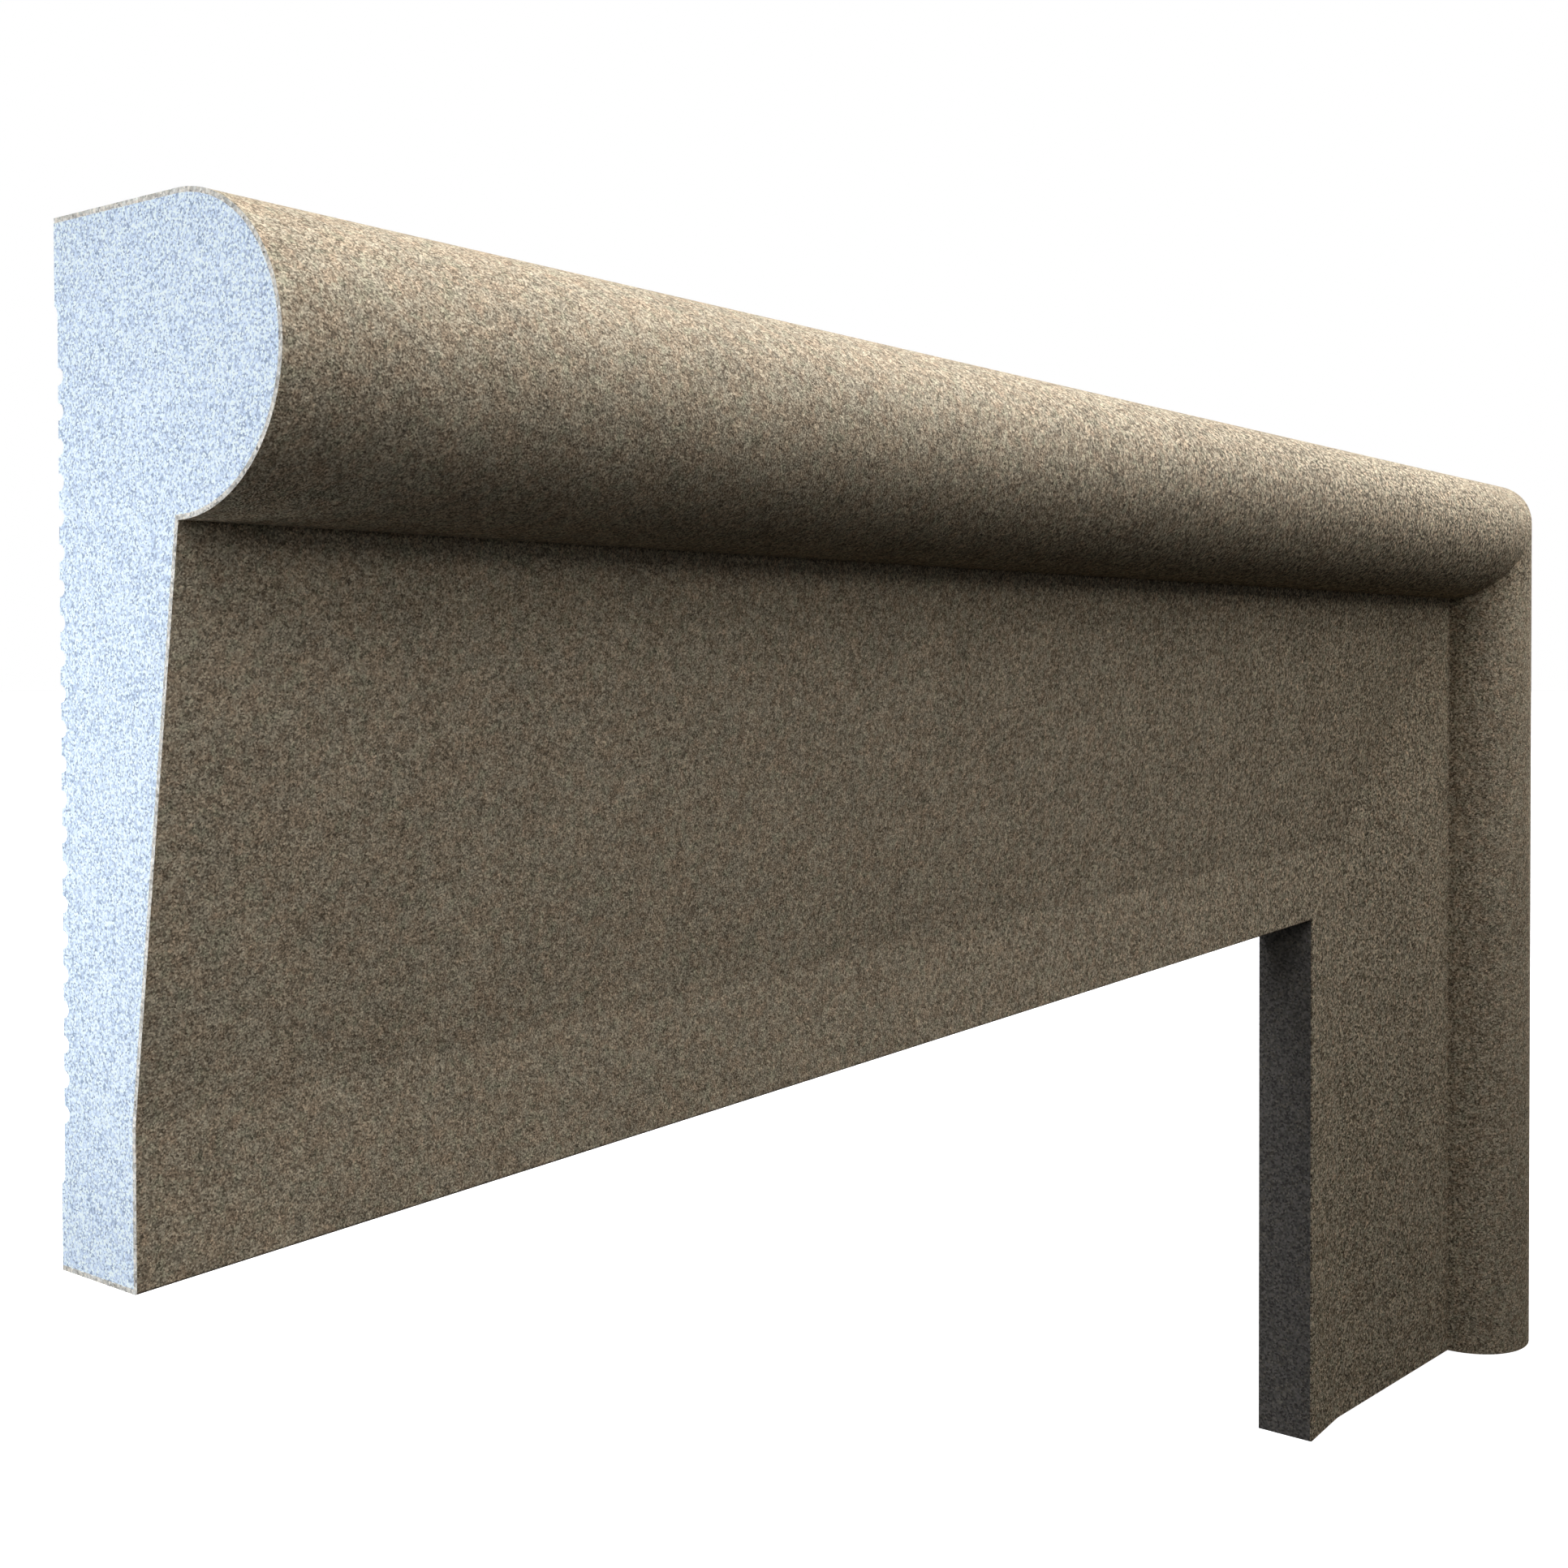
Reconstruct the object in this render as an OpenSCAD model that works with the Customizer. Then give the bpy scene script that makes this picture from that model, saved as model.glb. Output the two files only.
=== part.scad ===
// Corner of a window surround: a header length and a jamb length of coated foam
// moulding, mitred and glued at the top corner of the opening.
//
// Frame: the origin is the corner of the window opening, on the wall plane.
// +X runs along the header away from the opening, +Y into the wall, +Z up.
// Both legs share one cross-section, drawn with the wall at x = 0, the room side
// towards -x, the opening edge at y = 0 and the outer edge at y = face_h.

/* [Face profile] */
// Width of the face, from the opening edge to the outer edge
face_h = 300; // [240:5:400]
// Thickness at the opening edge, which is also the depth of the plain band
edge_t = 36; // [20:1:50]
// Height of the plain band beside the opening
band_h = 47; // [20:1:70]
// Depth of the flat outer ledge, from the wall to the middle of the roll
ledge_d = 57.5; // [52:0.5:80]
// Diameter of the half-round roll
roll_d = 88; // [60:2:110]

/* [Keyed back] */
// Width of the plain margin at each edge of the back
margin_w = 25; // [10:1:35]
// Depth of the recess between the margins
recess_d = 1.5; // [0.5:0.1:4]
// Corner radius of the recess
recess_r = 2.5; // [1:0.1:5]
// Diameter of the half-round key grooves
groove_d = 5; // [2:0.5:8]
// Distance between neighbouring grooves
groove_pitch = 10; // [9:0.5:25]
// Distance from the recess edge to the middle of the nearest possible groove
groove_inset = 20; // [8:1:35]

/* [Coats] */
// Thickness of the glass mesh that lies on the foam
mesh_t = 0.3; // [0.2:0.05:0.6]
// Thickness of the base coat over the mesh
base_t = 0.7; // [0.4:0.1:3]
// Thickness of the sanded finish coat
finish_t = 0.5; // [0.3:0.1:2]

/* [Legs] */
// Length of the header along the opening edge, from the corner to the cut end
header_l = 865; // [300:5:2400]
// Length of the jamb along the opening edge, from the corner to the cut end
jamb_l = 340; // [150:5:2400]

/* [Mitre joint] */
// Thickness of the glue line and of the filled joint between the legs
joint_t = 1; // [0.5:0.1:3]

/* [Hidden] */
$fn = 96;

// Skin depths, each measured inwards from the finished surface.
finish_in = finish_t;
base_in = finish_in + base_t;
mesh_in = base_in + mesh_t;

roll_r = roll_d / 2;
roll_y = face_h - roll_r;
crease_y = face_h - roll_d;
projection = ledge_d + roll_r;

// The fascia leans out from the top of the band to the underside of the roll.
fascia_slope = (ledge_d - edge_t) / (crease_y - band_h);
fascia_cos = cos(atan(fascia_slope));

groove_span = face_h - 2 * (margin_w + groove_inset);
groove_n = floor(groove_span / groove_pitch) + 1;
groove_y0 = (face_h - (groove_n - 1) * groove_pitch) / 2;

// How far a cutting block reaches past what it cuts.
over = 5;
mitre_reach = face_h * sqrt(2) + 2 * over;

// Depth of the fascia at height y, a distance inset under the finished surface.
function fascia_d(y, inset) = edge_t + fascia_slope * (y - band_h) - inset / fascia_cos;

// Height at which the band meets the fascia, a distance inset under the surface.
function break_y(inset) = band_h + inset * (1 / fascia_cos - 1) / fascia_slope;

// The half-round roll, with its flat side on the line x = -ledge_d.
module roll_2d(inset) {
    intersection() {
        translate([-ledge_d, roll_y]) circle(roll_r - inset);
        translate([-projection - over, crease_y - over])
            square([roll_r + over, roll_d + 2 * over]);
    }
}

// The moulding's outline a distance inset under its finished surface. The back
// isn't coated, so the wall side moves only by back, which clears a cut. Under
// the surface the roll's underside runs on, level, to the fascia. One point
// reaches into the roll and joins it to the rest.
module outline_2d(inset, back = 0) {
    polygon([
        [back, inset],
        [back, face_h - inset],
        [-ledge_d, face_h - inset],
        [-ledge_d - over, roll_y],
        if (inset > 0) [-ledge_d, crease_y + inset],
        [-fascia_d(crease_y + inset, inset), crease_y + inset],
        [inset - edge_t, break_y(inset)],
        [inset - edge_t, inset],
    ]);
    roll_2d(inset);
}

// What the back loses: a shallow round-cornered recess, and the grooves that
// give the bonding mortar its key.
module key_2d() {
    corner_x = recess_r - recess_d;
    corner_reach = corner_x > 0 ? sqrt(pow(recess_r, 2) - pow(corner_x, 2)) : recess_r;
    low_y = margin_w + corner_reach;
    high_y = face_h - low_y;
    translate([-recess_d, low_y]) square([recess_d + over, high_y - low_y]);
    translate([corner_x, margin_w]) square([over, face_h - 2 * margin_w]);
    for (y = [low_y, high_y])
        translate([corner_x, y]) circle(recess_r);
    for (i = [0 : groove_n - 1])
        translate([-recess_d, groove_y0 + i * groove_pitch]) circle(groove_d / 2);
}

module core_2d() {
    difference() {
        outline_2d(mesh_in);
        key_2d();
    }
}

// One skin, from the depth outer to the depth inner under the surface.
module skin_2d(outer, inner) {
    difference() {
        outline_2d(outer);
        outline_2d(inner, over);
    }
}

// Turns a cross-section into a straight run along X that passes the corner.
module run(length) {
    translate([-length, 0, 0])
        rotate([90, 0, 90])
            linear_extrude(length + face_h + over) children();
}

// A slab parallel to the mitre plane, from distance near to distance far on
// the jamb's side of it.
module mitre_slab(near, far) {
    rotate([0, 45, 0])
        translate([near, -projection - over, -over])
            cube([far - near, projection + 2 * over, mitre_reach]);
}

// A leg of the moulding, cut back from the mitre plane by half the joint.
module leg(length) {
    difference() {
        run(length) children();
        mitre_slab(-joint_t / 2, mitre_reach);
    }
}

// The jamb is the header's mirror image in the mitre plane.
module as_jamb() {
    mirror([1, 0, -1]) children();
}

// The header's half of the joint, in a cross-section of its own.
module half_joint() {
    intersection() {
        run(joint_t + over) children();
        mitre_slab(-joint_t / 2, 0);
    }
}

// The whole joint, which turns the corner in the mitre plane.
module joint() {
    half_joint() children();
    as_jamb() half_joint() children();
}

module header_foam_core() {
    color("aliceblue") leg(header_l) core_2d();
}

module jamb_foam_core() {
    color("aliceblue") as_jamb() leg(jamb_l) core_2d();
}

module header_glass_mesh() {
    color("whitesmoke") leg(header_l) skin_2d(base_in, mesh_in);
}

module jamb_glass_mesh() {
    color("whitesmoke") as_jamb() leg(jamb_l) skin_2d(base_in, mesh_in);
}

module header_base_coat() {
    color("lightgray") leg(header_l) skin_2d(finish_in, base_in);
}

module jamb_base_coat() {
    color("lightgray") as_jamb() leg(jamb_l) skin_2d(finish_in, base_in);
}

module header_finish_coat() {
    color("tan") leg(header_l) skin_2d(0, finish_in);
}

module jamb_finish_coat() {
    color("tan") as_jamb() leg(jamb_l) skin_2d(0, finish_in);
}

// The glue line between the two foam ends.
module mitre_adhesive() {
    color("khaki") joint() core_2d();
}

// The filler that carries the coats across the joint, flush with the finish.
module mitre_joint_filler() {
    color("tan") joint() skin_2d(0, mesh_in);
}

header_foam_core();
jamb_foam_core();
header_glass_mesh();
jamb_glass_mesh();
header_base_coat();
jamb_base_coat();
header_finish_coat();
jamb_finish_coat();
mitre_adhesive();
mitre_joint_filler();
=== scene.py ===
"""The mitred corner of a coated foam window surround, and a studio stage for it."""

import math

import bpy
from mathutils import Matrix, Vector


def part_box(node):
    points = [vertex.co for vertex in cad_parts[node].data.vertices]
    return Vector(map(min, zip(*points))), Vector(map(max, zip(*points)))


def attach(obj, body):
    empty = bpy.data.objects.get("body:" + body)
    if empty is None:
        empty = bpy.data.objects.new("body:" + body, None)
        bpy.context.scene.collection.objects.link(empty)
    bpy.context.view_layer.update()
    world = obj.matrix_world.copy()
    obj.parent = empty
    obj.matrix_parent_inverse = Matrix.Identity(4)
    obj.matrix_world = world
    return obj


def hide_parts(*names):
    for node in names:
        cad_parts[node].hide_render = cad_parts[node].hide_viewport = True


bl_info = {
    "name": "Window Surround Corner",
    "version": (1, 0, 0),
    "blender": (4, 5, 0),
    "location": "View3D > Sidebar > Surround",
    "description": "Models the mitred corner of a coated foam window surround and lights it",
    "category": "Object",
}

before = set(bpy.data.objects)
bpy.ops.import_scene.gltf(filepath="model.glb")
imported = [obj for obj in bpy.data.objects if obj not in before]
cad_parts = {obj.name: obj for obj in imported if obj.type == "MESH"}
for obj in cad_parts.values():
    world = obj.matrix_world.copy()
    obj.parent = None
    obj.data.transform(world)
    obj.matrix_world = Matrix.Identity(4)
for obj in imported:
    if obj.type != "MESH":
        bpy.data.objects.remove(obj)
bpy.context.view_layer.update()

BODY = "root"

# ---------------------------------------------------------------- the frame's sizes

# The header runs to -X and the jamb to -Z from the corner of the opening, which
# is the origin. The wall is the plane y = 0 and the room side is towards -Y.


def rounded(metres):
    """A length from the frame, without the noise of its single precision."""
    return round(metres, 6)


FACE_HEIGHT = rounded(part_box("header_finish_coat")[1].z)
HEADER_LENGTH = rounded(-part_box("header_finish_coat")[0].x)
JAMB_LENGTH = rounded(-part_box("jamb_finish_coat")[0].z)
MORTAR_DEPTH = rounded(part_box("header_base_coat")[0].z)
CLOTH_DEPTH = rounded(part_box("header_glass_mesh")[0].z)
FOAM_DEPTH = rounded(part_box("header_foam_core")[0].z)

# How far a section is pulled past the corner before the mitre is cut, the gap between
# the cloth's two layers of strands, and how far strands stand out of a cut end.
PAST_CORNER = 0.01
CLOTH_GAP = 0.00001
FRAY = 0.0002

ACROSS_MITRE = Vector((1, 0, -1)).normalized()
TO_LEFT = Vector((-1, 0, 0))
DOWN = Vector((0, 0, -1))

# Straight steps in each round of the section, and in the roll of a cloth hoop.
ARRIS_STEPS = 4
BREAK_STEPS = 2
ROLL_STEPS = 48
HOOP_ROLL_STEPS = 28
COVE_STEPS = 4
GROOVE_STEPS = 12

# The speck that an outline starts from, the distance within which two points are one,
# the tolerance of a cut, and how nearly a flat face has to face one way.
SPECK = 0.001
SAME_POINT = 1e-6
CUT_TOLERANCE = 1e-7
FACES_THAT_WAY = 0.9999

# ---------------------------------------------------------------- the studio's lights

DAYLIGHT = (1.0, 1.0, 1.0)
COOL_LIGHT = (0.92, 0.955, 1.0)
SKY_LIGHT = (0.97, 1.0, 1.06)
WARM_LIGHT = (1.0, 0.975, 0.945)

# Name, bearing from +X towards +Y and height in degrees, width in degrees, strength
# and colour of each far light.
SUNS = (
    ("front_window", -77, 35, 30, 0.155, DAYLIGHT),
    ("right_window", -5, 22, 30, 1.95, WARM_LIGHT),
    ("roof_window", 138, 77, 30, 1.88, SKY_LIGHT),
    ("rear_window", 90, 5, 30, 1.2, DAYLIGHT),
)

# Name, place, what it points at, size, power and colour of each soft box.
SOFT_BOXES = (
    ("left_strip", (-0.9, -0.2, 0.5), (-0.9, -0.05, 0.1), (1.2, 0.25), 1.60, SKY_LIGHT),
    ("corner_strip", (0.1, -0.25, 0.9), (0.1, -0.05, 0.1), (0.8, 0.25), 2.85, SKY_LIGHT),
    ("high_strip", (-0.3, -1.2, 0.9), (-0.3, -0.05, 0.1), (2.4, 0.3), 2.95, WARM_LIGHT),
    ("low_strip", (-0.3, -0.9, 0.3), (-0.3, -0.05, 0.1), (2.4, 0.3), 0.45, DAYLIGHT),
    ("corner_box", (0.3, -0.5, 0.8), (0.2, -0.05, 0.0), (0.4, 0.4), 1.33, WARM_LIGHT),
    ("left_box", (-1.2, -0.25, 0.3), (-0.865, -0.03, 0.15), (0.14, 0.14), 0.305, COOL_LIGHT),
    ("end_box", (-1.1, 0.06, 0.25), (-0.865, -0.03, 0.15), (0.05, 0.10), 0.208, COOL_LIGHT),
    ("low_end_box", (-1.1, 0.06, 0.09), (-0.865, -0.03, 0.15), (0.05, 0.17), 0.255, COOL_LIGHT),
    ("foot_box", (-1.05, -0.03, 0.0), (-0.865, -0.03, 0.0), (0.10, 0.30), 0.110, COOL_LIGHT),
)
FILL_LIGHT = 0.003

# ---------------------------------------------------------------- the floor and the camera

FLOOR_SIZE = 40
FLOOR_GLOW = 0.85
CAMERA_PLACE = (-1.1631, -0.4830, 0.1778)
CAMERA_TURN = 36.933  # degrees from +X towards +Y
CAMERA_TILT = -0.9005
CAMERA_ROLL = -0.1533
SENSOR_WIDTH = 36.0
LENS = 42.59
LENS_SHIFT = -0.0688
CAMERA_RANGE = (0.01, 100)

# ---------------------------------------------------------------- grains of the materials

SAND_GRAIN = 0.0005
COARSE_SAND_GRAIN = 0.0013
SAND_DOME = 0.0008
# Grains of the painted-shade render inside the opening.
OPENING_SAND_GRAIN = 0.0012
OPENING_SAND_DOME = 0.0009
MORTAR_GRAIN = 0.0008
MORTAR_DOME = 0.0009
FOAM_PORE = 0.0006
FOAM_HOLLOW = 0.0011
FOAM_BEAD = 0.0025
GLASS_TWIST = 0.0006
GLUE_BUBBLE = 0.0012

# ---------------------------------------------------------------- settings


def length(name, description, default):
    """A length in metres that a user may change."""
    return bpy.props.FloatProperty(
        name=name,
        description=description,
        default=default,
        min=0.0,
        subtype="DISTANCE",
        unit="LENGTH",
    )


def colour(name, description, default):
    """A colour, as linear light, that a user may change."""
    return bpy.props.FloatVectorProperty(
        name=name,
        description=description,
        default=default,
        min=0.0,
        max=1.0,
        subtype="COLOR",
        size=3,
    )


class SurroundSizes(bpy.types.PropertyGroup):
    """Sizes of the moulding that the frame's boxes don't give."""

    edge_depth: length("Edge depth", "Thickness at the opening edge", 0.036)
    band_height: length("Band height", "Height of the plain band", 0.047)
    ledge_depth: length("Ledge depth", "From the wall to the middle of the roll", 0.0575)
    roll_radius: length("Roll radius", "Radius of the half-round roll", 0.044)
    arris_radius: length("Arris radius", "Rounding of the finished edge", 0.0010)
    break_reach: length("Break reach", "Half the width of the soft band break", 0.0012)
    margin_width: length("Margin width", "Plain margin at each edge of the back", 0.025)
    recess_depth: length("Recess depth", "Depth of the keyed recess", 0.0015)
    recess_radius: length("Recess radius", "Corner radius of the recess", 0.0025)
    groove_radius: length("Groove radius", "Radius of the key grooves", 0.0025)
    groove_pitch: length("Groove pitch", "Between neighbouring grooves", 0.010)
    groove_count: bpy.props.IntProperty(
        name="Groove count", description="Number of key grooves", default=22, min=2
    )
    joint_width: length("Joint width", "Thickness of the mitre joint", 0.001)
    cloth_pitch: length("Cloth pitch", "Between strands of the glass cloth", 0.005)
    strand_width: length("Strand width", "Width of a strand", 0.0009)
    strand_height: length("Strand height", "Thickness of a strand", 0.00013)


class SurroundColours(bpy.types.PropertyGroup):
    """Colours of the moulding's materials."""

    foam: colour("Foam", "The foam's usual colour", (0.715, 0.825, 0.97))
    foam_light: colour("Foam beads", "The palest beads", (0.92, 1.0, 1.0))
    foam_dark: colour("Foam hollows", "Between the foam's beads", (0.30, 0.38, 0.51))
    sand_warm: colour("Warm sand", "Warmer patches of the finish", (0.414, 0.322, 0.221))
    sand_cool: colour("Cool sand", "Greener patches of the finish", (0.390, 0.335, 0.244))
    sand_rust: colour("Rusty sand", "Browner stains in the finish", (0.415, 0.300, 0.200))
    sand_moss: colour("Mossy sand", "Greener stains in the finish", (0.362, 0.340, 0.235))
    # Painted shade: a darker, greyer sand colour for the faces inside the opening, standing in for
    # the shade there.
    painted_shade_sand: colour("Shaded sand", "The finish inside the opening", (0.202, 0.187, 0.170))
    mortar_warm: colour("Warm mortar", "Warmer grains of the mortar", (0.65, 0.60, 0.52))
    mortar_cool: colour("Cool mortar", "Greyer grains of the mortar", (0.61, 0.60, 0.56))
    glass: colour("Glass strand", "Strands of the cloth", (0.82, 0.83, 0.80))
    glue: colour("Glue", "Cured glue in the mitre", (0.78, 0.66, 0.40))
    floor: colour("Floor", "Studio floor", (0.90, 0.90, 0.90))


# ---------------------------------------------------------------- modelling by hand


def pick(obj):
    """Only obj is selected, and it is the active object."""
    if bpy.context.object and bpy.context.object.mode != "OBJECT":
        bpy.ops.object.mode_set(mode="OBJECT")
    bpy.ops.object.select_all(action="DESELECT")
    obj.select_set(True)
    bpy.context.view_layer.objects.active = obj


def edit(obj):
    """obj is open in edit mode with all of it selected."""
    pick(obj)
    bpy.ops.object.mode_set(mode="EDIT")
    bpy.ops.mesh.select_all(action="SELECT")


def tidy(obj):
    """Merges doubles, turns the faces outwards and leaves edit mode."""
    edit(obj)
    bpy.ops.mesh.remove_doubles(threshold=SAME_POINT)
    bpy.ops.mesh.normals_make_consistent(inside=False)
    bpy.ops.object.mode_set(mode="OBJECT")


def smooth(obj, degrees=30):
    """Rounds are shaded smooth, and the flats beside them stay flat."""
    pick(obj)
    bpy.ops.object.shade_smooth_by_angle(angle=math.radians(degrees))
    weighted = obj.modifiers.new("flats", "WEIGHTED_NORMAL")
    weighted.keep_sharp = True
    bpy.ops.object.modifier_apply(modifier=weighted.name)


class Outline:
    """An outline drawn in a plane across the header, one stretch at a time."""

    def __init__(self, name, x, y, z):
        bpy.ops.object.select_all(action="DESELECT")
        bpy.ops.mesh.primitive_plane_add(size=SPECK, location=(x, y, z))
        self.obj = bpy.context.object
        self.obj.name = name
        bpy.ops.object.transform_apply()
        edit(self.obj)
        bpy.ops.mesh.merge(type="CENTER")
        self.x, self.y, self.z = x, y, z

    def line(self, y, z):
        """A straight stretch to (y, z)."""
        step = (0, y - self.y, z - self.z)
        bpy.ops.mesh.extrude_region_move(TRANSFORM_OT_translate={"value": step})
        self.y, self.z = y, z

    def arc(self, centre_y, centre_z, turn, steps):
        """A round stretch. A turn in radians is positive from +Y towards +Z."""
        bpy.ops.mesh.spin(
            steps=steps,
            angle=-turn,
            center=(self.x, centre_y, centre_z),
            axis=(1, 0, 0),
        )
        arm = Vector((self.y - centre_y, self.z - centre_z))
        arm.rotate(Matrix.Rotation(turn, 2))
        self.y, self.z = centre_y + arm.x, centre_z + arm.y

    def coat_line(self, depth, roll_steps=ROLL_STEPS):
        """The coated side, a depth under its finish, from the underside to the top."""
        s = bpy.context.scene.surround_sizes
        crease = FACE_HEIGHT - 2 * s.roll_radius
        lean = math.atan((s.ledge_depth - s.edge_depth) / (crease - s.band_height))
        edge = s.edge_depth - depth
        radius = max(s.arris_radius - depth, s.arris_radius / 8)
        self.line(radius - edge, depth)
        self.arc(radius - edge, depth + radius, -math.pi / 2, ARRIS_STEPS)
        break_z = s.band_height + depth * math.tan(lean / 2)
        bend = s.break_reach / math.tan(lean / 2)
        self.line(-edge, break_z - s.break_reach)
        self.arc(-edge - bend, break_z - s.break_reach, lean, BREAK_STEPS)
        foot = crease + depth
        self.line(-edge - (foot - break_z) * math.tan(lean), foot)
        self.line(-s.ledge_depth, foot)
        self.arc(-s.ledge_depth, foot + s.roll_radius - depth, -math.pi, roll_steps)
        self.line(0, FACE_HEIGHT - depth)

    def keyed_back(self, top):
        """The back, from its upper edge down: margins, recess and key grooves."""
        s = bpy.context.scene.surround_sizes
        centre_y = s.recess_radius - s.recess_depth
        cove = math.acos(centre_y / s.recess_radius)
        drop = s.recess_radius * math.sin(cove)
        low = s.margin_width + drop
        self.line(0, top - s.margin_width)
        self.arc(centre_y, top - low, cove, COVE_STEPS)
        first = (top + (s.groove_count - 1) * s.groove_pitch) / 2
        for i in range(s.groove_count):
            middle = first - i * s.groove_pitch
            self.line(-s.recess_depth, middle + s.groove_radius)
            self.arc(-s.recess_depth, middle, math.pi, GROOVE_STEPS)
        self.line(-s.recess_depth, low)
        self.arc(centre_y, low, cove, COVE_STEPS)


def foam_section(name, x):
    """The foam block's closed outline, filled."""
    outline = Outline(name, x, 0, FOAM_DEPTH)
    outline.coat_line(FOAM_DEPTH)
    outline.keyed_back(FACE_HEIGHT)
    outline.line(0, FOAM_DEPTH)
    bpy.ops.mesh.select_all(action="SELECT")
    bpy.ops.mesh.remove_doubles(threshold=SAME_POINT)
    bpy.ops.mesh.edge_face_add()
    return outline.obj


def coat_section(name, x, outer, inner, roll_steps=ROLL_STEPS):
    """A coat's section between two depths, as a strip of faces."""
    lines = []
    for depth in (outer, inner):
        outline = Outline(name, x, 0, depth)
        outline.coat_line(depth, roll_steps)
        bpy.ops.object.mode_set(mode="OBJECT")
        lines.append(outline.obj)
    pick(lines[0])
    lines[1].select_set(True)
    bpy.ops.object.join()
    edit(lines[0])
    bpy.ops.mesh.bridge_edge_loops()
    bpy.ops.mesh.select_all(action="SELECT")
    bpy.ops.mesh.remove_doubles(threshold=SAME_POINT)
    return lines[0]


def pull(distance):
    """Extrudes the section that is open in edit mode along +X."""
    bpy.ops.mesh.select_all(action="SELECT")
    bpy.ops.mesh.extrude_region_move(TRANSFORM_OT_translate={"value": (distance, 0, 0)})


def cut_mitre(offset, keep_header_side=True, fill=True):
    """Cuts what is open in edit mode parallel to the mitre, offset towards the jamb."""
    bpy.ops.mesh.select_all(action="SELECT")
    bpy.ops.mesh.bisect(
        plane_co=ACROSS_MITRE * offset,
        plane_no=ACROSS_MITRE,
        use_fill=fill,
        clear_outer=keep_header_side,
        clear_inner=not keep_header_side,
        threshold=CUT_TOLERANCE,
    )


def leg(section, run):
    """A section, pulled along the header for a run and mitred."""
    edit(section)
    pull(run + FACE_HEIGHT + PAST_CORNER)
    cut_mitre(-bpy.context.scene.surround_sizes.joint_width / 2)
    tidy(section)
    return section


def as_jamb(obj):
    """Mirrors a leg in the mitre plane, so that it runs down the jamb."""
    pick(obj)
    obj.scale = (-1, 1, 1)
    obj.rotation_euler = (0, math.pi / 2, 0)
    bpy.ops.object.transform_apply(location=True, rotation=True, scale=True)
    tidy(obj)
    return obj


def joint_half(section):
    """The header's half of the joint, open where it meets the jamb's half."""
    half = bpy.context.scene.surround_sizes.joint_width / 2
    edit(section)
    pull(FACE_HEIGHT + 2 * PAST_CORNER)
    cut_mitre(-half, keep_header_side=False)
    cut_mitre(0, fill=False)
    tidy(section)
    return section


def join(name, objects):
    """Makes several objects one piece."""
    pick(objects[0])
    for obj in objects[1:]:
        obj.select_set(True)
    bpy.ops.object.join()
    objects[0].name = name
    return objects[0]


def copy_of(obj):
    """A copy with its own mesh."""
    pick(obj)
    bpy.ops.object.duplicate(linked=False)
    return bpy.context.object


def finish_piece(obj, material, node, angle=30):
    """Shades a piece, gives it its material and puts it in the frame."""
    smooth(obj, angle)
    obj.data.materials.clear()
    obj.data.materials.append(material)
    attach(obj, BODY)
    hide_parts(node)


def row_of(obj, count, step):
    """Repeats obj in a row, as one mesh."""
    pick(obj)
    array = obj.modifiers.new("row", "ARRAY")
    array.count = count
    array.use_relative_offset = False
    array.use_constant_offset = True
    array.constant_offset_displace = step
    bpy.ops.object.modifier_apply(modifier=array.name)
    return obj


def weft_hoops(name, run):
    """Strands that cross the moulding and follow its coated side, one beside the other."""
    s = bpy.context.scene.surround_sizes
    start = s.cloth_pitch / 2 - run
    inner = CLOTH_DEPTH + s.strand_height
    hoop = coat_section(name, start, CLOTH_DEPTH, inner, HOOP_ROLL_STEPS)
    pull(s.strand_width)
    tidy(hoop)
    count = math.floor((run + FACE_HEIGHT) / s.cloth_pitch)
    return row_of(hoop, count, (s.cloth_pitch, 0, 0))


def warp_strand(name, run, y, z, lean):
    """A flat strand along the moulding. Its face leans from the upright in radians."""
    s = bpy.context.scene.surround_sizes
    end = FACE_HEIGHT + PAST_CORNER
    bpy.ops.object.select_all(action="DESELECT")
    bpy.ops.mesh.primitive_cube_add(
        size=1,
        location=((end - run - FRAY) / 2, y, z),
        rotation=(lean, 0, 0),
        scale=(end + run + FRAY, s.strand_height, s.strand_width),
    )
    strand = bpy.context.object
    strand.name = name
    bpy.ops.object.transform_apply(location=True, rotation=True, scale=True)
    return strand


def warp_row(name, run, start, stop):
    """Strands side by side from one point of the section to another, (y, z) each."""
    pitch = bpy.context.scene.surround_sizes.cloth_pitch
    way = Vector(stop) - Vector(start)
    count = math.floor(way.length / pitch) + 1
    step = way.normalized() * pitch
    spare = (way - step * (count - 1)) / 2
    first = Vector(start) + spare
    strand = warp_strand(name, run, first.x, first.y, math.atan2(-way.x, way.y))
    return row_of(strand, count, (0, step.x, step.y))


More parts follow.
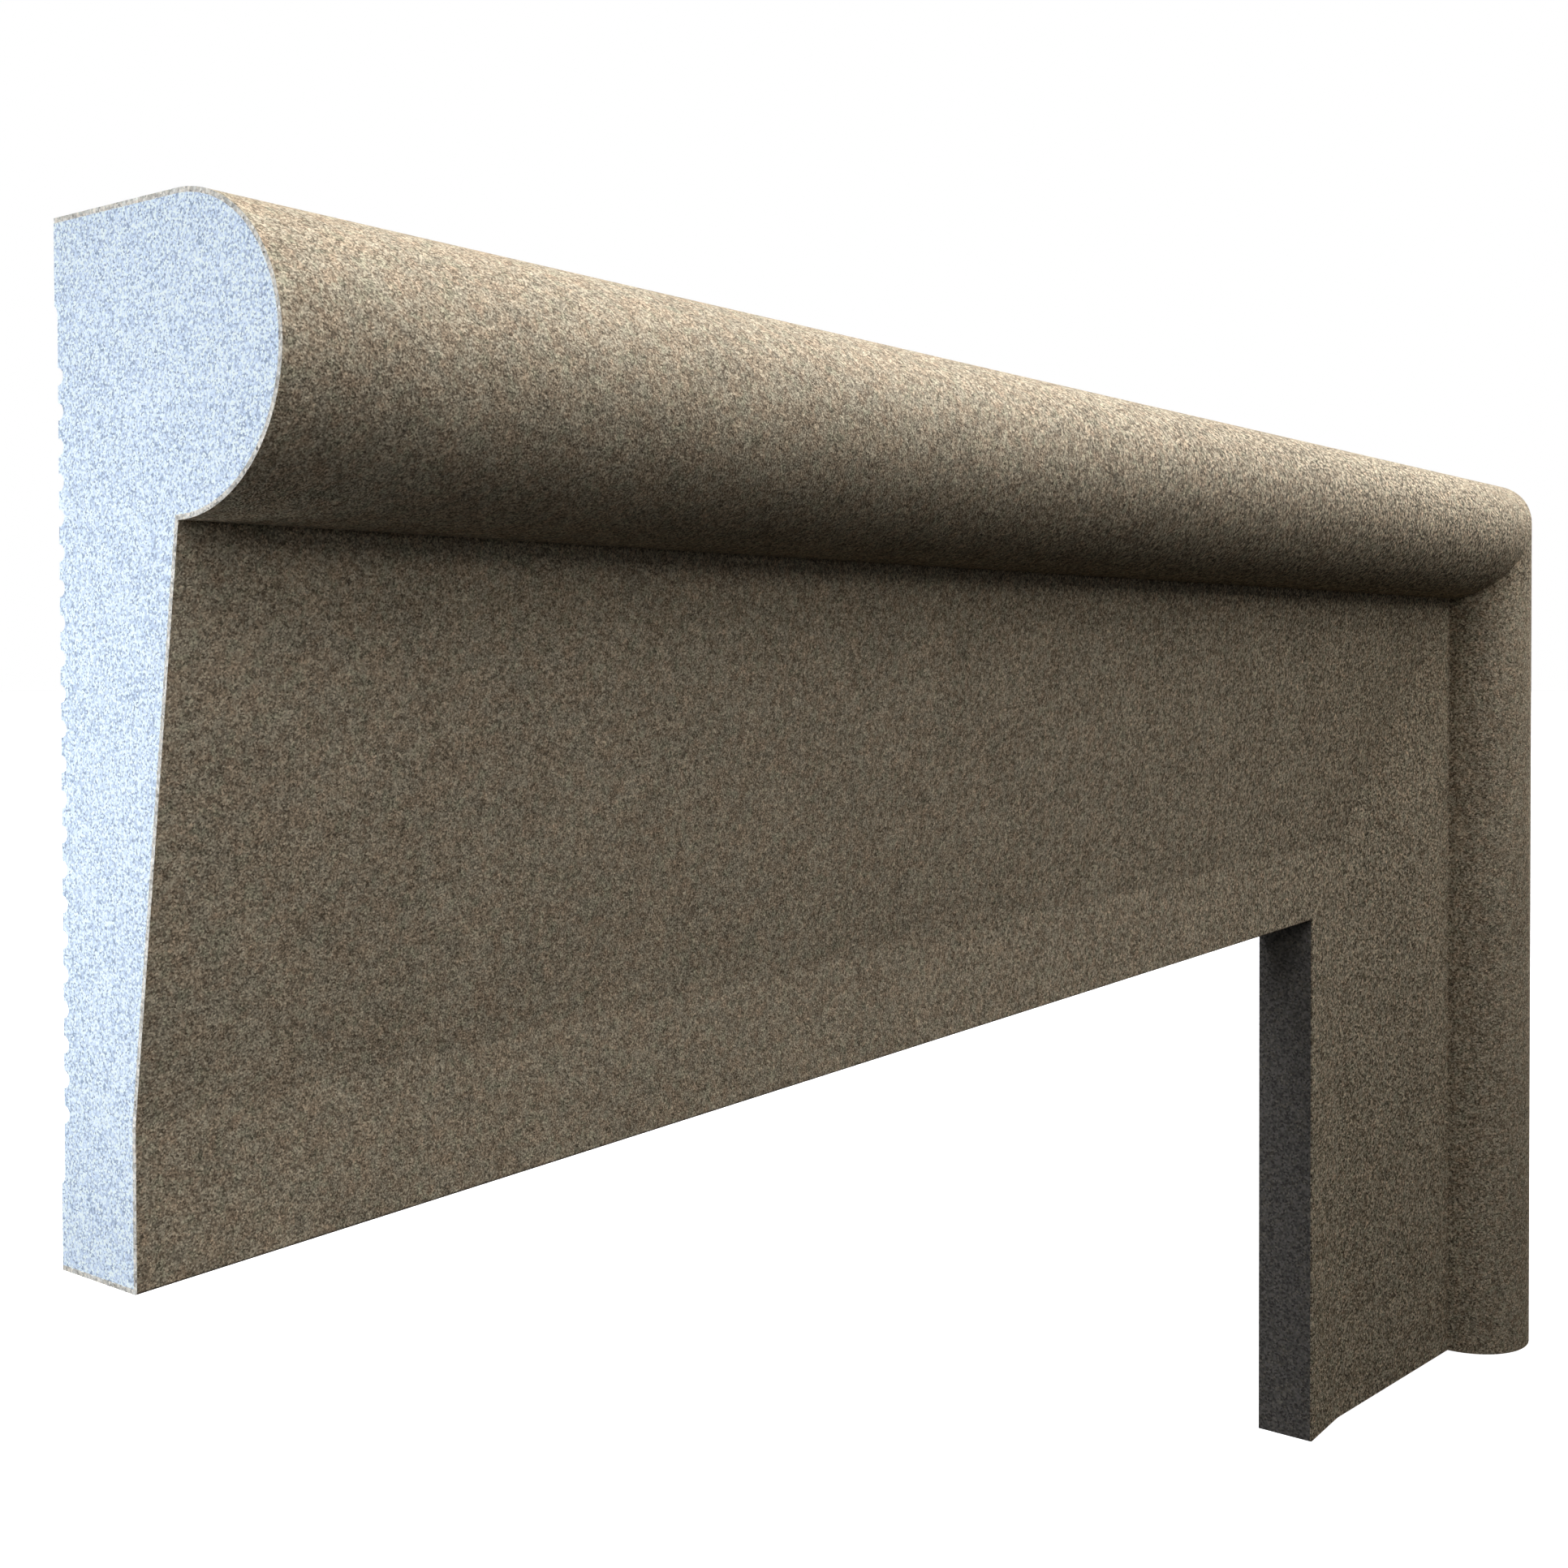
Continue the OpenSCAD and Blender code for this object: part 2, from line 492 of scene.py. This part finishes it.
def warp_strands(name, run):
    """All the strands along the moulding, on the inner side of the hoops."""
    s = bpy.context.scene.surround_sizes
    depth = CLOTH_DEPTH + s.strand_height * 1.5 + CLOTH_GAP
    crease = FACE_HEIGHT - 2 * s.roll_radius
    slope = (s.ledge_depth - s.edge_depth) / (crease - s.band_height)
    inset = depth * math.hypot(1, slope)
    room = s.cloth_pitch / 2
    lip = depth - s.edge_depth

    def fascia(z):
        return inset - s.edge_depth - (z - s.band_height) * slope

    foot = s.band_height + room
    head = crease - room
    top = FACE_HEIGHT - depth
    rows = [
        warp_row(name, run, (-room, depth), (lip + room, depth)),
        warp_row(name, run, (lip, depth + room), (lip, s.band_height)),
        warp_row(name, run, (fascia(foot), foot), (fascia(head), head)),
        warp_row(name, run, (room - s.ledge_depth, top), (-room, top)),
    ]
    middle = crease + s.roll_radius
    reach = s.roll_radius - depth
    count = math.floor(math.pi * reach / s.cloth_pitch)
    rolled = warp_strand(name, run, -s.ledge_depth, middle - reach, math.pi / 2)
    edit(rolled)
    bpy.ops.mesh.spin(
        steps=count - 1,
        dupli=True,
        angle=math.pi * (count - 1) / count,
        center=(0, -s.ledge_depth, middle),
        axis=(1, 0, 0),
    )
    bpy.ops.object.mode_set(mode="OBJECT")
    rows.append(rolled)
    return rows


def glass_cloth(name, run):
    """The woven cloth of one leg, mitred."""
    cloth = join(name, [weft_hoops(name, run), *warp_strands(name, run)])
    edit(cloth)
    cut_mitre(-bpy.context.scene.surround_sizes.joint_width / 2)
    tidy(cloth)
    return cloth


def coat_side(obj, material, way):
    """Gives the flat faces of a coat that face one way a material of their own."""
    obj.data.materials.append(material)
    for face in obj.data.polygons:
        if face.normal.dot(way) > FACES_THAT_WAY:
            face.material_index = len(obj.data.materials) - 1


# ---------------------------------------------------------------- materials


class Nodes:
    """The nodes of a new material, all on Object coordinates."""

    def __init__(self, name):
        self.material = bpy.data.materials.new(name)
        self.material.use_nodes = True
        self.tree = self.material.node_tree
        self.shader = self.tree.nodes["Principled BSDF"]
        self.place = self.add("ShaderNodeTexCoord").outputs["Object"]

    def add(self, kind, inputs=None, **settings):
        """A new node with its settings, and values or links for its inputs."""
        node = self.tree.nodes.new(kind)
        for key, value in settings.items():
            setattr(node, key, value)
        for key, value in (inputs or {}).items():
            self.feed(node.inputs[key], value)
        return node

    def feed(self, socket, value):
        """Links another node's output to a socket, or sets the socket's own value."""
        if isinstance(value, bpy.types.NodeSocket):
            self.tree.links.new(value, socket)
        else:
            socket.default_value = value

    def math(self, operation, a, b=0.0, clamp=False):
        return self.add(
            "ShaderNodeMath", {0: a, 1: b}, operation=operation, use_clamp=clamp
        ).outputs[0]

    def grains(self, size):
        """Three random values for each grain of about this size."""
        cells = self.add("ShaderNodeTexVoronoi", {"Vector": self.place, "Scale": 1 / size})
        split = self.add("ShaderNodeSeparateColor", {"Color": cells.outputs["Color"]})
        return split.outputs["Red"], split.outputs["Green"], split.outputs["Blue"]

    def domes(self, size):
        """Height of rounded grains of about this size, 1 at their tops."""
        cells = self.add(
            "ShaderNodeTexVoronoi",
            {"Vector": self.place, "Scale": 1 / size, "Smoothness": 0.3},
            feature="SMOOTH_F1",
        )
        return self.math("SUBTRACT", 1.0, cells.outputs["Distance"])

    def cloud(self, size, detail=2.0, roughness=0.5, shift=(0, 0, 0)):
        """Soft noise from 0 to 1 with lumps of about this size."""
        moved = self.add(
            "ShaderNodeMapping", {"Vector": self.place, "Location": shift}
        ).outputs["Vector"]
        noise = self.add(
            "ShaderNodeTexNoise",
            {"Vector": moved, "Scale": 1 / size, "Detail": detail, "Roughness": roughness},
        )
        return noise.outputs["Fac"]

    def spread(self, value, amount):
        """A 0 to 1 value as an offset from -amount / 2 to amount / 2."""
        return self.math("MULTIPLY", self.math("SUBTRACT", value, 0.5), amount)

    def total(self, start, *parts):
        """A start value with several more added to it."""
        for part in parts:
            start = self.math("ADD", start, part)
        return start

    def steep(self, value, low, high):
        """0 under low, 1 over high and a smooth change between them."""
        return self.add(
            "ShaderNodeMapRange",
            {"Value": value, "From Min": low, "From Max": high},
            interpolation_type="SMOOTHSTEP",
        ).outputs["Result"]

    def mix(self, share, a, b):
        """Colour a at a share of 0 and colour b at 1."""
        node = self.add("ShaderNodeMix", data_type="RGBA", clamp_factor=True)
        self.feed(node.inputs["Factor"], share)
        for socket, tint in ((node.inputs[6], a), (node.inputs[7], b)):
            self.feed(socket, tint if isinstance(tint, bpy.types.NodeSocket) else (*tint, 1.0))
        return node.outputs[2]

    def shade(self, tint, factor):
        """A colour made lighter or darker by a factor."""
        return self.add(
            "ShaderNodeVectorMath", {0: tint, "Scale": factor}, operation="SCALE"
        ).outputs["Vector"]

    def bump(self, height, distance, strength=1.0):
        """A normal that leans with the height, which stands for a distance in metres."""
        return self.add(
            "ShaderNodeBump",
            {"Height": height, "Distance": distance, "Strength": strength},
        ).outputs["Normal"]

    def finish(self, base, roughness, normal, specular=0.25):
        """Sets the shader's main inputs and gives back the material."""
        self.feed(self.shader.inputs["Base Color"], base)
        self.feed(self.shader.inputs["Roughness"], roughness)
        self.feed(self.shader.inputs["Normal"], normal)
        self.shader.inputs["Specular IOR Level"].default_value = specular
        return self.material


def sand_material():
    """Sand-textured render: packed grains in warm and cool patches, coarser by the corner."""
    c = bpy.context.scene.surround_colours
    n = Nodes("sand_render")
    fine, hue, _ = n.grains(SAND_GRAIN)
    middle, middle_hue, _ = n.grains(COARSE_SAND_GRAIN)
    split = n.add("ShaderNodeSeparateXYZ", {"Vector": n.place})
    along, up = split.outputs["X"], split.outputs["Z"]
    near_corner = n.steep(along, -HEADER_LENGTH, 0.0)
    extra = n.total(
        0.0,
        n.math("MULTIPLY", n.steep(along, -0.2, 0.08), 0.40),
        n.math("MULTIPLY", n.steep(along, 0.18, 0.24), -0.70),
        n.math("MULTIPLY", n.math("MULTIPLY", n.steep(up, 0.20, 0.24), near_corner), 0.50),
    )
    uneven = n.total(
        -0.02,
        n.math("MULTIPLY", near_corner, -0.02),
        n.spread(fine, 1.35),
        n.math("MULTIPLY", extra, -0.06),
        n.math("MULTIPLY", n.spread(middle, 1.0), n.total(0.45, near_corner, extra)),
        n.math(
            "MULTIPLY",
            n.spread(n.cloud(0.0040, 2.0), 1.0),
            n.total(0.50, n.math("MULTIPLY", near_corner, -0.25)),
        ),
        n.spread(n.cloud(0.04, 4.0), 0.35),
    )
    patch = n.total(
        n.steep(n.cloud(0.007, 3.0, 0.6, (0.3, 0.1, 0.2)), 0.35, 0.65),
        n.spread(n.cloud(0.022, 3.0, 0.6, (0.8, 0.3, 0.6)), 1.6),
        n.spread(hue, 0.6),
        n.spread(middle_hue, 0.4),
        n.math("MULTIPLY", uneven, 0.8),
    )
    base = n.mix(patch, c.sand_warm, c.sand_cool)
    for tint, shift in ((c.sand_rust, (0.7, 0.4, 0.5)), (c.sand_moss, (0.2, 0.9, 0.1))):
        stain = n.steep(n.cloud(0.005, 4.0, 0.7, shift), 0.50, 0.66)
        base = n.mix(n.math("MULTIPLY", stain, 0.6), base, tint)
    tone = n.math("POWER", n.total(1.0, n.math("MULTIPLY", uneven, 0.5)), 2.0)
    base = n.shade(base, tone)
    height = n.total(n.domes(SAND_DOME), n.spread(n.cloud(0.0022, 2.0), 1.0))
    return n.finish(base, 0.92, n.bump(height, 0.0004, 0.40), 0.12)


def painted_shade_sand_material():
    """Painted shade: the render inside the opening, darker and greyer for the shade there, finer
    grained.
    """
    c = bpy.context.scene.surround_colours
    n = Nodes("painted_shade_sand_render")
    fine, hue, _ = n.grains(OPENING_SAND_GRAIN)
    tone = n.total(1.0, n.spread(fine, 1.0), n.spread(n.cloud(0.005, 3.0), 0.4))
    patch = n.total(n.spread(hue, 0.5), n.spread(n.cloud(0.012, 2.0), 0.8))
    base = n.shade(n.mix(patch, c.painted_shade_sand, c.sand_cool), tone)
    return n.finish(base, 0.92, n.bump(n.domes(OPENING_SAND_DOME), 0.0003, 0.2), 0.12)


def mortar_material():
    """Cut mortar: fine pale grains with a few dark ones."""
    c = bpy.context.scene.surround_colours
    n = Nodes("base_mortar")
    fine, hue, pick_out = n.grains(MORTAR_GRAIN)
    tone = n.total(
        1.05,
        n.spread(fine, 0.75),
        n.spread(n.cloud(0.003, 2.0), 0.7),
        n.math("MULTIPLY", n.steep(pick_out, 0.80, 0.85), -0.35),
    )
    base = n.shade(n.mix(hue, c.mortar_warm, c.mortar_cool), tone)
    return n.finish(base, 0.95, n.bump(n.domes(MORTAR_DOME), 0.0003, 0.6), 0.15)


def foam_material():
    """Bead foam: packed pale beads, with small blue-grey hollows between them."""
    c = bpy.context.scene.surround_colours
    n = Nodes("bead_foam")
    fine, _, pick_out = n.grains(FOAM_PORE)
    tone = n.total(
        n.spread(fine, 2.7),
        n.spread(n.cloud(FOAM_HOLLOW, 2.0, 0.6), 3.2),
        n.spread(n.cloud(0.006, 3.0), 0.8),
    )
    hollows = n.total(
        n.math("MULTIPLY", tone, 0.62),
        n.math("MULTIPLY", n.steep(pick_out, 0.90, 0.93), 0.85),
    )
    beads = n.mix(n.math("MULTIPLY", tone, -1.0), c.foam, c.foam_light)
    base = n.mix(hollows, beads, c.foam_dark)
    height = n.total(n.domes(FOAM_BEAD), n.spread(n.cloud(0.0008, 2.0), 0.8))
    return n.finish(base, 0.85, n.bump(height, 0.0003, 0.4), 0.2)


def glass_material():
    """Coated glass strands: twisted filaments under a milky size."""
    c = bpy.context.scene.surround_colours
    n = Nodes("glass_strand")
    twist = n.cloud(GLASS_TWIST, 2.0)
    base = n.shade(c.glass, n.total(0.8, n.math("MULTIPLY", twist, 0.4)))
    return n.finish(base, 0.5, n.bump(twist, 0.0001, 0.6), 0.5)


def glue_material():
    """Cured foam glue: amber, with small closed bubbles."""
    c = bpy.context.scene.surround_colours
    n = Nodes("mitre_glue")
    base = n.shade(c.glue, n.total(0.7, n.math("MULTIPLY", n.cloud(0.004, 2.0), 0.6)))
    return n.finish(base, 0.6, n.bump(n.domes(GLUE_BUBBLE), 0.0003, 0.7), 0.4)


def floor_material():
    """Pale matte studio floor, with a glow of its own so that shadows on it stay faint."""
    c = bpy.context.scene.surround_colours
    n = Nodes("studio_floor")
    base = n.shade(c.floor, n.total(0.98, n.math("MULTIPLY", n.cloud(0.5, 2.0), 0.04)))
    n.feed(n.shader.inputs["Emission Color"], (*c.floor, 1.0))
    n.shader.inputs["Emission Strength"].default_value = FLOOR_GLOW
    return n.finish(base, 0.9, n.bump(n.cloud(0.02, 2.0), 0.0002, 0.2), 0.0)


# ---------------------------------------------------------------- operators


class SURROUND_OT_foam_blocks(bpy.types.Operator):
    """Models the header's and the jamb's foam blocks with their keyed backs"""

    bl_idname = "surround.foam_blocks"
    bl_label = "Foam Blocks"

    def execute(self, context):
        foam = foam_material()
        header = leg(foam_section("header_foam_block", -HEADER_LENGTH), HEADER_LENGTH)
        finish_piece(header, foam, "header_foam_core")
        jamb = as_jamb(leg(foam_section("jamb_foam_block", -JAMB_LENGTH), JAMB_LENGTH))
        finish_piece(jamb, foam, "jamb_foam_core")
        return {"FINISHED"}


class SURROUND_OT_mortar_coats(bpy.types.Operator):
    """Models the base coats that bed the glass cloth on the foam"""

    bl_idname = "surround.mortar_coats"
    bl_label = "Mortar Coats"

    def execute(self, context):
        mortar = mortar_material()
        section = coat_section("header_mortar_coat", -HEADER_LENGTH, MORTAR_DEPTH, FOAM_DEPTH)
        header = leg(section, HEADER_LENGTH)
        finish_piece(header, mortar, "header_base_coat")
        section = coat_section("jamb_mortar_coat", -JAMB_LENGTH, MORTAR_DEPTH, FOAM_DEPTH)
        jamb = as_jamb(leg(section, JAMB_LENGTH))
        finish_piece(jamb, mortar, "jamb_base_coat")
        return {"FINISHED"}


class SURROUND_OT_glass_cloths(bpy.types.Operator):
    """Models the woven glass cloths in the base coats, strand by strand"""

    bl_idname = "surround.glass_cloths"
    bl_label = "Glass Cloths"

    def execute(self, context):
        glass = glass_material()
        header = glass_cloth("header_glass_cloth", HEADER_LENGTH)
        finish_piece(header, glass, "header_glass_mesh")
        jamb = as_jamb(glass_cloth("jamb_glass_cloth", JAMB_LENGTH))
        finish_piece(jamb, glass, "jamb_glass_mesh")
        return {"FINISHED"}


class SURROUND_OT_sand_coats(bpy.types.Operator):
    """Models the sand-textured finish coats"""

    bl_idname = "surround.sand_coats"
    bl_label = "Sand Coats"

    def execute(self, context):
        sand = sand_material()
        painted_shade_coat = painted_shade_sand_material()
        mortar = bpy.data.materials["base_mortar"]
        section = coat_section("header_sand_coat", -HEADER_LENGTH, 0, MORTAR_DEPTH)
        header = leg(section, HEADER_LENGTH)
        finish_piece(header, sand, "header_finish_coat")
        coat_side(header, mortar, TO_LEFT)
        # The header's faces inside the opening, facing down, get painted shade: a darker colour
        # for the shade there.
        coat_side(header, painted_shade_coat, DOWN)
        section = coat_section("jamb_sand_coat", -JAMB_LENGTH, 0, MORTAR_DEPTH)
        jamb = as_jamb(leg(section, JAMB_LENGTH))
        finish_piece(jamb, sand, "jamb_finish_coat")
        # The jamb's faces towards the opening get the same painted shade.
        coat_side(jamb, painted_shade_coat, TO_LEFT)
        coat_side(jamb, mortar, DOWN)
        return {"FINISHED"}


class SURROUND_OT_mitre_joint(bpy.types.Operator):
    """Models the glue line between the blocks and the filler through the coats"""

    bl_idname = "surround.mitre_joint"
    bl_label = "Mitre Joint"

    def execute(self, context):
        header_side = joint_half(foam_section("mitre_glue_line", -PAST_CORNER))
        glue = join("mitre_glue_line", [header_side, as_jamb(copy_of(header_side))])
        tidy(glue)
        finish_piece(glue, glue_material(), "mitre_adhesive")
        section = coat_section("mitre_joint_strip", -PAST_CORNER, 0, FOAM_DEPTH)
        header_side = joint_half(section)
        strip = join("mitre_joint_strip", [header_side, as_jamb(copy_of(header_side))])
        tidy(strip)
        sand = bpy.data.materials["sand_render"]
        finish_piece(strip, sand, "mitre_joint_filler")
        return {"FINISHED"}


class SURROUND_OT_stage(bpy.types.Operator):
    """Lays a pale floor, sets soft lights and aims the camera"""

    bl_idname = "surround.stage"
    bl_label = "Stage"

    def execute(self, context):
        self.floor()
        self.world(context.scene)
        self.lights()
        self.camera(context.scene)
        return {"FINISHED"}

    def floor(self):
        """A floor under the jamb's foot that throws no light on the object."""
        bpy.ops.object.select_all(action="DESELECT")
        bpy.ops.mesh.primitive_plane_add(size=FLOOR_SIZE, location=(0, 0, -JAMB_LENGTH))
        floor = bpy.context.object
        floor.name = "studio_floor"
        bpy.ops.object.transform_apply()
        floor.data.materials.append(floor_material())
        floor.visible_diffuse = False
        floor.visible_glossy = False

    def world(self, scene):
        """White behind the object, and only a little fill light from all round."""
        world = bpy.data.worlds.new("studio")
        world.use_nodes = True
        tree = world.node_tree
        path = tree.nodes.new("ShaderNodeLightPath")
        strength = tree.nodes.new("ShaderNodeMapRange")
        strength.inputs["To Min"].default_value = FILL_LIGHT
        strength.inputs["To Max"].default_value = 1.0
        background = tree.nodes["Background"]
        background.inputs["Color"].default_value = (1, 1, 1, 1)
        tree.links.new(path.outputs["Is Camera Ray"], strength.inputs["Value"])
        tree.links.new(strength.outputs["Result"], background.inputs["Strength"])
        scene.world = world
        scene.view_settings.view_transform = "Standard"

    def lights(self):
        """Far lights by their bearing and height, and soft boxes turned to what they light."""
        for name, bearing, height, angle, strength, tint in SUNS:
            data = bpy.data.lights.new(name, "SUN")
            data.color = tint
            data.energy = strength
            data.angle = math.radians(angle)
            light = self.place(data)
            light.rotation_euler = (math.radians(90 - height), 0, math.radians(bearing + 90))
        for name, place, aim, size, power, tint in SOFT_BOXES:
            data = bpy.data.lights.new(name, "AREA")
            data.color = tint
            data.shape = "RECTANGLE"
            data.size, data.size_y = size
            data.energy = power
            light = self.place(data)
            light.location = place
            away = (Vector(place) - Vector(aim)).normalized()
            level = Vector((0, 0, 1)).cross(away).normalized()
            light.rotation_euler = Matrix((level, away.cross(level), away)).transposed().to_euler()

    def place(self, data):
        """Puts a light in the scene, where the camera doesn't see it."""
        light = bpy.data.objects.new(data.name, data)
        light.visible_camera = False
        bpy.context.scene.collection.objects.link(light)
        return light

    def camera(self, scene):
        """A camera that looks along the header at its cut end."""
        data = bpy.data.cameras.new("camera")
        camera = bpy.data.objects.new("camera", data)
        scene.collection.objects.link(camera)
        scene.camera = camera
        data.sensor_width = SENSOR_WIDTH
        data.lens = LENS
        data.shift_y = LENS_SHIFT
        data.clip_start, data.clip_end = CAMERA_RANGE
        yaw, pitch = math.radians(CAMERA_TURN), math.radians(CAMERA_TILT)
        roll = math.radians(CAMERA_ROLL)
        ahead = Vector(
            (math.cos(yaw) * math.cos(pitch), math.sin(yaw) * math.cos(pitch), math.sin(pitch))
        )
        turn = ahead.to_track_quat("-Z", "Y")
        camera.rotation_mode = "QUATERNION"
        camera.rotation_quaternion = Matrix.Rotation(-roll, 3, ahead).to_quaternion() @ turn
        camera.location = CAMERA_PLACE


class SURROUND_PT_panel(bpy.types.Panel):
    """Lists the steps that build the surround"""

    bl_label = "Window Surround"
    bl_idname = "SURROUND_PT_panel"
    bl_space_type = "VIEW_3D"
    bl_region_type = "UI"
    bl_category = "Surround"

    def draw(self, context):
        for group in (context.scene.surround_sizes, context.scene.surround_colours):
            box = self.layout.box()
            for name in group.__annotations__:
                box.prop(group, name)
        for operator in OPERATORS:
            self.layout.operator(operator.bl_idname)


OPERATORS = (
    SURROUND_OT_foam_blocks,
    SURROUND_OT_mortar_coats,
    SURROUND_OT_glass_cloths,
    SURROUND_OT_sand_coats,
    SURROUND_OT_mitre_joint,
    SURROUND_OT_stage,
)
CLASSES = (SurroundSizes, SurroundColours, *OPERATORS, SURROUND_PT_panel)


def register():
    for cls in CLASSES:
        bpy.utils.register_class(cls)
    bpy.types.Scene.surround_sizes = bpy.props.PointerProperty(type=SurroundSizes)
    bpy.types.Scene.surround_colours = bpy.props.PointerProperty(type=SurroundColours)


def unregister():
    del bpy.types.Scene.surround_colours
    del bpy.types.Scene.surround_sizes
    for cls in reversed(CLASSES):
        bpy.utils.unregister_class(cls)


def main():
    register()
    bpy.ops.surround.foam_blocks()
    bpy.ops.surround.mortar_coats()
    bpy.ops.surround.glass_cloths()
    bpy.ops.surround.sand_coats()
    bpy.ops.surround.mitre_joint()
    bpy.ops.surround.stage()


if __name__ == "__main__":
    main()
